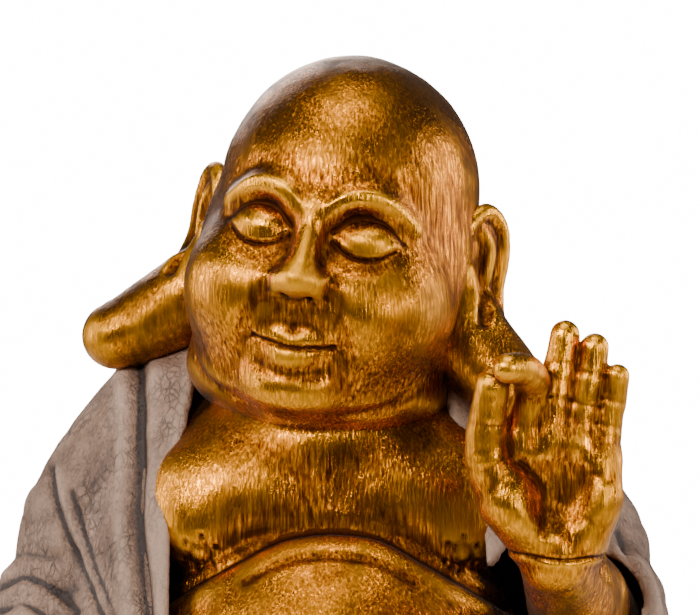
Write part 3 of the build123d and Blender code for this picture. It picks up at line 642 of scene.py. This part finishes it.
def make_arm(side, digits, wrist, turn, cuff, name, nodes):
    """Forearm and hand in the hand's own frame: palm to -Y, fingers up."""
    wrist = np.array(wrist, float)
    m = turn_matrix(*turn)
    start = np.array(cuff, float)
    start = start - (wrist - start) / np.linalg.norm(wrist - start) * 20
    start = (start - wrist) @ m
    low = np.minimum((-46, -36, -8), start - 26)
    high = np.maximum((46, 24, 98), start + 26)
    clay = Clay(low, high, 0.85)
    middle = (start + np.array((0, 0, -4))) / 2
    clay.put(tube([start, middle, (0, 0, -5)], (22, 20.5, 15)))
    clay.put(blob((0, 0, 3), (17.5, 12.5, 9)), 5)
    for key, joints in digits.items():
        thick = THICK[key]
        root = (-9, -2, 6) if key == "thumb" else (joints[0][0] * 0.6, 0, 4)
        clay.put(tube(mirror([root, joints[0]], side), (11, thick[0])), 5)
    clay.put(blob((-side * 1, 1.5, 24), (20, 9.5, 24)), 4)
    clay.put(smooth_tube(mirror([(-9, -5, 6), (-19, -9, 16), (-24, -9, 25)], side), (11, 11.5, 9)), 4)
    clay.put(smooth_tube(mirror([(11, -4, 8), (15, -4.5, 20), (15, -3, 32)], side), (9, 9.5, 7.5)), 4)
    clay.cut(blob((-side * 1, -17, 25), (9, 8, 14), (0, side * 14, 0)), 9)
    for key, joints in digits.items():
        thick = THICK[key]
        if key != "thumb":
            clay.put(blob((side * joints[0][0], joints[0][1] - 3.2, joints[0][2] - 3), (6.8, 5.6, 8.0)), 5)
        path = curve(mirror(joints, side), 12)
        radii = np.interp(np.linspace(0, 3, len(path)), range(4), thick)
        swell = 0.12 * np.cos(np.linspace(0, 6 * math.pi, len(path)))
        clay.put(tube(path, radii + swell), 2.2)
    skin = clay.skin()
    # creases under the joints, the nails, and the fold round the wrist
    for key, joints in digits.items():
        j = np.array(mirror(joints, side), float)
        for i in (1, 2):
            along = j[i + 1] - j[i - 1]
            along = along / np.linalg.norm(along)
            away = skin.p - j[i]
            off = away @ along
            out = np.linalg.norm(away - off[:, None] * along, axis=1)
            palm = np.clip(-(away[:, 1]) / 3, 0, 1)
            skin.push(-0.22 * bump(off, 1.2) * bump(np.maximum(out - THICK[key][i], 0), 2.0) * palm)
        along = j[3] - j[2]
        along = along / np.linalg.norm(along)
        back = np.array((0, 1.0, 0)) - along * along[1]
        back = back / np.linalg.norm(back)
        across = np.cross(along, back)
        away = skin.p - j[3]
        u, v, w = away @ across, away @ along, away @ back
        rim = np.hypot(u / 3.9, (v + 0.6) / 5.0)
        nail = np.clip(w / 2.5, 0, 1) * (rim < 1.8)
        skin.push(nail * (0.35 * (rim < 1) - 0.55 * bump(rim - 1.05, 0.16)))
    flat, palm = skin.p[:, [0, 2]] * (side, 1), np.clip((-skin.p[:, 1] - 1) / 4, 0, 1)
    for line, depth, width in (
        ([(-17, 34), (-9, 27), (-6, 16), (-7, 7)], 0.9, 2.0),
        ([(-14, 33), (-2, 34), (8, 32), (18, 29)], 0.35, 2.0),
        ([(-3, 20), (6, 14), (14, 12)], 0.3, 2.0),
    ):
        skin.push(-depth * palm * bump(near_line(flat, line), width))
    near_wrist = np.abs(skin.p[:, 0]) < 24
    seam = skin.p[:, 2] + 2.5 + 0.6 * noise(skin.p, 14.0)
    skin.push(near_wrist * (-0.8 * bump(seam, 0.8) + 0.45 * bump(seam + 2.4, 1.6)))
    skin.push(0.25 * noise(skin.p, 9.0, side) + 0.08 * noise(skin.p, 3.0))
    skin.p = skin.p @ m.T + wrist
    return skin.piece(name, "gilding", GOLD, *nodes, scales=((6, 0.3), (30, 1.1)))


# --- Robe --------------------------------------------------------------------------------
ROBE_AT = np.array((6, 66, 126, 176, 210, 232), float)
ROBE_WIDTH = (124, 124, 114, 106, 88, 62)
ROBE_DEPTH = (104, 108, 94, 72, 56, 42)
ROBE_MIDDLE = (-14, -20, -10, 2, 6, 8)


def through(at, values, z):
    """A smooth line through values at heights."""
    fine = np.linspace(at[0], at[-1], 200)
    v = np.interp(fine, at, values)
    kernel = np.hanning(25)
    v = np.convolve(np.pad(v, 12, mode="edge"), kernel / kernel.sum(), mode="valid")
    return np.interp(z, fine, v)


def ring_distance(x, y, half_width, half_depth):
    k0 = np.sqrt((x / half_width) ** 2 + (y / half_depth) ** 2)
    k1 = np.sqrt((x / half_width**2) ** 2 + (y / half_depth**2) ** 2)
    return k0 * (k0 - 1) / np.maximum(k1, 1e-6)


def opening(x, y, z):
    """Distance outside the robe's open front and neck."""
    h = z - SEAT
    left = through((-20, 36, 86, 127, 163, 204, 240), (-46, -58, -64, -65, -66, -59, -50), h)
    right = through((-20, 36, 86, 127, 163, 204, 240), (50, 59, 64, 65, 62, 47, 46), h)
    front = np.maximum(np.maximum(left - x, x - right), (y + 14) * 0.8)
    neck = ring_distance(
        x - 1, y + 6, 50 + 0.28 * np.clip(h - 196, 0, 60), 44 + 0.1 * np.clip(h - 196, 0, 60)
    )
    neck = np.maximum(neck, (202 - h) * 0.9)
    return soft_min(front, neck, 12)


# Each sleeve's side, path, radii and wrist. Heights are above the seat, and the places repeat the CAD's.
SLEEVES = (
    (1, [(76, 4, 182), (112, -8, 112), (105, -70, 124)], (32, 33, 30), (90, -118, 160)),
    (-1, [(-76, 4, 182), (-114, -4, 112), (-121, -48, 72)], (32, 33, 27), (-124, -72, 46)),
)


def make_robe():
    clay = Clay((-158, -136, SEAT - 8), (158, 100, SEAT + 238), 1.95)
    x, y, z = clay.whole()
    h = z - SEAT
    trunk = ring_distance(
        x,
        y - through(ROBE_AT, ROBE_MIDDLE, h),
        through(ROBE_AT, ROBE_WIDTH, h),
        through(ROBE_AT, ROBE_DEPTH, h)
    )
    trunk = np.maximum(trunk, h - 232)
    body = np.clip(trunk, -30, 30).astype(np.float32)
    ends = []
    for side, points, radii, wrist in SLEEVES:
        p = [np.array(q, float) + (0, 0, SEAT) for q in points]
        body = soft_min(body, np.clip(tube(p, radii)[2](x, y, z), -30, 30), 14)
        shoulder = tube([(side * 70, 2, SEAT + 193 - side), (side * 103, -2, SEAT + 146 - 4 * side)], 32)
        body = soft_min(body, np.clip(shoulder[2](x, y, z), -30, 30), 10)
        along = np.array(wrist, float) + (0, 0, SEAT) - p[-1]
        along = along / np.linalg.norm(along)
        reach = (x - p[-1][0]) * along[0] + (y - p[-1][1]) * along[1] + (z - p[-1][2]) * along[2]
        radial = np.sqrt(
            np.maximum((x - p[-1][0]) ** 2 + (y - p[-1][1]) ** 2 + (z - p[-1][2]) ** 2 - reach**2, 0)
        )
        ends.append((reach, radial, radii[-1]))
    shell = np.maximum(body, -(body + 4.6))
    for reach, radial, radius in ends:
        beyond = np.maximum(8 - reach, radial - radius - 8)
        shell = np.maximum(shell, -beyond)
    shell = -soft_min(-shell, opening(x, y, z), 2.5)
    clay.f = np.clip(np.maximum(shell, -h - 4), -DEEP, DEEP).astype(np.float32)
    skin = clay.skin()
    p = skin.p
    h = p[:, 2] - SEAT
    edge = opening(p[:, 0], p[:, 1], p[:, 2])
    band = np.interp(h, (100, 128, 183, 212), (9, 11, 18, 24))
    amount = (
        1.8 * np.clip((band - 3 - edge) / 2.5, 0, 1)
        - 4.6 * bump(edge - band, 2.8)
        + 2.0 * bump(edge - band - 7, 4.0)
    )
    amount = amount * np.clip((228 - h) / 10, 0, 1) * np.clip(edge / 3, 0, 1)
    # long folds that fall from the shoulder, and tighter ones round the elbow
    drift = 9 * noise(p, 46.0, 5.0) + 4 * noise(p, 20.0, 9.0)
    fall = np.abs(p[:, 0]) * 0.86 + p[:, 1] * 0.14 * np.sign(p[:, 1] + 1e-9) + h * 0.26 + drift
    wave = np.abs(np.sin(fall * math.pi / 27)) ** 0.75 - 0.62
    away = np.clip((edge - band - 6) / 14, 0, 1)
    behind = np.clip((p[:, 1] + 10) / 30, 0, 1)
    amount = amount + (1.7 + 1.9 * behind) * wave * away * np.clip((226 - h) / 16, 0, 1)
    flat, front = p[:, [0, 2]] - (0, SEAT), 1 - np.clip((p[:, 1] + 12) / 12, 0, 1)
    for line, depth, width, up in (
        ([(-119, 176), (-114, 158), (-105, 139), (-94, 122), (-84, 108)], 2.8, 1.8, 3.8),
        ([(-109, 168), (-103, 150), (-96, 136), (-87, 120)], 1.3, 1.6, 3.4),
        ([(-148, 122), (-141, 127), (-131, 131), (-118, 128), (-107, 121)], 3.2, 2.0, -4.6),
        ([(-148, 114), (-140, 118), (-129, 121), (-112, 112)], 2.0, 1.8, -4.0),
        ([(121, 150), (128, 132), (129, 110), (124, 90)], 2.2, 1.6, 3.4),
        ([(112, 158), (117, 138), (117, 118)], 1.6, 1.6, 3.4),
        ([(134, 138), (137, 120), (134, 100)], 1.4, 1.4, -3.0),
    ):
        amount = amount - depth * front * bump(near_line(flat, line), width)
        amount = amount + 0.6 * depth * front * bump(near_line(flat, [(x + up, z) for x, z in line]), 2.6)
    for s, points, radii, wrist in SLEEVES:
        elbow = np.array(points[1], float) + (0, 0, SEAT)
        d = np.linalg.norm(p - elbow, axis=1)
        ring = np.abs(
            np.sin((p[:, 2] - elbow[2] + 0.35 * p[:, 1] + 6 * noise(p, 22.0, 11.0)) * math.pi / 19)
        ) ** 0.7 - 0.6
        amount = amount + 2.6 * ring * bump(d, 46)
    amount = amount + 0.9 * noise(p, 24.0, 1.0) + 0.4 * noise(p, 7.0, 2.0)
    skin.push(np.clip(amount, -5.2, 4.6) * outward(skin, body_normal(p)))
    skin.relax(1, 0.4)
    shade = -1.2 * bump(edge - 1.0, 2.2) * (p[:, 1] < -14)
    return skin.piece(
        "robe", "robe", ROBE, "robe_body", "sleeve_left", "sleeve_right", scales=((6, 0.5), (40, 2.6)),
        shade=shade
    )


def body_normal(p):
    """Roughly outward from the nearest of the trunk's and the arms' middle lines."""
    h = p[:, 2] - SEAT
    best = ring_distance(
        p[:, 0], p[:, 1] - through(ROBE_AT, ROBE_MIDDLE, h), through(ROBE_AT, ROBE_WIDTH, h),
        through(ROBE_AT, ROBE_DEPTH, h)
    )
    out = np.stack([p[:, 0], (p[:, 1] + 10), np.zeros(len(p))], 1)
    for side, points, radii, wrist in SLEEVES:
        q = np.array(points, float) + (0, 0, SEAT)
        for a, b, r0, r1 in zip(q, q[1:], radii, radii[1:]):
            d = b - a
            t = np.clip(((p - a) @ d) / (d @ d), 0, 1)
            off = p - a - t[:, None] * d
            dist = np.linalg.norm(off, axis=1) - (r0 + t * (r1 - r0))
            nearer = dist < best
            best = np.where(nearer, dist, best)
            out[nearer] = off[nearer]
    return out / np.maximum(np.linalg.norm(out, axis=1), 1e-6)[:, None]


def outward(skin, direction):
    """1 on the outer face of a shell, 0 on its inner face."""
    return np.clip((skin.normals() * direction).sum(1) * 3 + 0.3, 0, 1)


# --- Lap ---------------------------------------------------------------------------------
def make_lap():
    at, widths, depths = (2, 40, 75, 98), (168, 173, 141, 100), (110, 115, 98, 78)
    clay = Clay((-190, -144, FLOOR - 4), (190, 108, 106), 1.7)
    x, y, z = clay.whole()
    mound = ring_distance(x, y + 18, through(at, widths, z), through(at, depths, z))
    top = z - 96
    f = -soft_min(-mound, -top, 14)
    for s in (1, -1):
        f = soft_min(f, blob((s * 122, -62, 50), (62, 66, 46))[2](x, y, z), 12)
    f = soft_min(f, blob((0, -100, 30), (70, 26, 26))[2](x, y, z), 18)
    f = np.maximum(f, FLOOR - z)
    clay.f = np.clip(f, -DEEP, DEEP).astype(np.float32)
    skin = clay.skin()
    p = skin.p
    base = np.clip((p[:, 2] - FLOOR) / 3, 0, 1)
    amount = 0.0
    for s in (1, -1):
        knee = np.linalg.norm((p - (s * 128, -70, 40)) * (0.8, 1.0, 1.25), axis=1)
        phase = knee + 7 * noise(p, 40.0, 3.0 + s) + 3 * noise(p, 18.0, 4.0)
        wave = np.abs(np.sin(phase * math.pi / 24)) ** 0.7 - 0.6
        share = np.clip((p[:, 0] * s + 30) / 60, 0, 1)
        amount = amount + 4.2 * wave * share * np.clip((knee - 26) / 30, 0, 1)
    amount = amount + 2.0 * bump(p[:, 2] - 7, 4.0) - 1.6 * bump(p[:, 2] - 14, 2.5)
    amount = amount + 1.2 * noise(p, 26.0, 1.0) + 0.4 * noise(p, 8.0, 2.0)
    skin.push(np.clip(amount, -5, 5) * base)
    skin.p[:, 2] = np.maximum(skin.p[:, 2], FLOOR)
    return skin.piece("robe_skirt", "robe", ROBE, "robe_lap", scales=((6, 0.5), (40, 2.8)))


def make_foot(side, name):
    low = (4, -160, FLOOR - 3) if side > 0 else (-72, -160, FLOOR - 3)
    high = (72, -100, 34) if side > 0 else (-4, -100, 34)
    clay = Clay(low, high, 0.8)
    clay.put(tube(mirror([(30, -106, 16), (36, -132, 12)], side), (19, 13)))
    clay.put(
        smooth_tube(
            mirror([(27, -134, 9), (38, -139, 8), (50, -136, 8), (57, -130, 7.5)], side), (9, 8, 7, 6)
        ),
        5
    )
    for x, y, z, r in (
        (29, -145, 9.5, 7.6), (38.5, -148.5, 8, 5.8), (46.5, -147, 7.5, 5.3), (53.5, -143, 7, 4.9),
        (59, -137, 6.5, 4.5)
    ):
        clay.put(
            smooth_tube(
                [(side * (x * 0.93 + 1), y + 14, z + 1.5), (side * x, y + 5, z + 1.2), (side * x, y, z)],
                (r * 0.82, r * 0.84, r)
            ),
            1.2
        )
        clay.cut(blob((side * x, y - r * 0.55, z + r * 0.95), (r * 0.5, r * 0.55, 1.0), (38, 0, 0)), 0.5)
    px, py, pz = clay.whole()
    clay.f = np.maximum(clay.f, (FLOOR - pz).astype(np.float32))
    skin = clay.skin()
    skin.push(0.2 * noise(skin.p, 8.0) * np.clip((skin.p[:, 2] - FLOOR) / 2, 0, 1))
    return skin.piece(name, "gilding", GOLD, name, scales=((6, 0.3), (30, 1.2)))


make_head()
make_ear(1, "ear_left")
make_ear(-1, "ear_right")
make_torso()
make_arm(
    1, RAISED, (90, -118, SEAT + 160), (0, 3, 0), (105, -70, SEAT + 124), "arm_left",
    ("forearm_left", "hand_left")
)
make_arm(
    -1, RESTING, (-124, -72, SEAT + 46), (114, 0, 6), (-121, -48, SEAT + 72), "arm_right",
    ("forearm_right", "hand_right")
)
make_robe()
make_lap()
make_foot(1, "foot_left")
make_foot(-1, "foot_right")

slots = {part["node"]: part["material_slot"] for part in frame["record"]["subparts"]}
for name, obj in frame["nodes"].items():
    if slots[name] in FINISH:
        obj.data.materials.clear()
        obj.data.materials.append(FINISH[slots[name]])

# --- Floor, light and camera ---------------------------------------------------------------
floor_mesh = bpy.data.meshes.new("floor")
turns = [2 * math.pi * i / 96 for i in range(96)]
floor_mesh.from_pydata([(0.9 * math.cos(a), 0.9 * math.sin(a), 0) for a in turns], [], [range(96)])
floor = bpy.data.objects.new("floor", floor_mesh)
bpy.context.scene.collection.objects.link(floor)
floor_mesh.materials.append(
    plain_material("floor", (0.78, 0.78, 0.77), (0.84, 0.84, 0.83), (6, 6, 6), 0.85, depth=0.0001)
)


def softbox(name, place, aim, size, power, colour=(1, 1, 1)):
    light = bpy.data.lights.new(name, "AREA")
    light.shape, light.size, light.size_y = "RECTANGLE", *size
    light.energy, light.color = power, colour
    obj = bpy.data.objects.new(name, light)
    obj.location = place
    obj.rotation_euler = (Vector(aim) - Vector(place)).to_track_quat("-Z", "Y").to_euler()
    bpy.context.scene.collection.objects.link(obj)


AIM = (0.008, -0.04, 0.312)
softbox("key", (-0.75, -1.15, 1.05), AIM, (0.26, 0.5), 28)
softbox("fill", (0.95, -1.1, 0.5), AIM, (0.16, 0.6), 11)
softbox("left", (-1.3, 0.1, 0.45), AIM, (0.3, 0.9), 12)
softbox("right", (1.25, 0.25, 0.5), AIM, (0.3, 0.9), 12)
softbox("top", (0.0, -0.3, 1.45), AIM, (0.5, 0.35), 9)
softbox("back", (-0.3, 1.4, 0.9), AIM, (0.9, 0.6), 8)

world = bpy.data.worlds.new("studio")
bpy.context.scene.world = world
world.use_nodes = True
tree = world.node_tree
background = tree.nodes["Background"]
background.inputs["Color"].default_value = (1, 1, 1, 1)
path = tree.nodes.new("ShaderNodeLightPath")
strength = tree.nodes.new("ShaderNodeMapRange")
strength.inputs["To Min"].default_value = 0.06
strength.inputs["To Max"].default_value = 16.0
tree.links.new(path.outputs["Is Camera Ray"], strength.inputs["Value"])
tree.links.new(strength.outputs["Result"], background.inputs["Strength"])

camera = bpy.data.cameras.new("camera")
camera.lens, camera.sensor_width, camera.clip_end = 160, 36, 20
eye = bpy.data.objects.new("camera", camera)
tilt = math.radians(5)
eye.location = Vector(AIM) + Vector((0, -math.cos(tilt), math.sin(tilt))) * 1.3
eye.rotation_euler = (Vector(AIM) - eye.location).to_track_quat("-Z", "Y").to_euler()
bpy.context.scene.collection.objects.link(eye)
bpy.context.scene.camera = eye
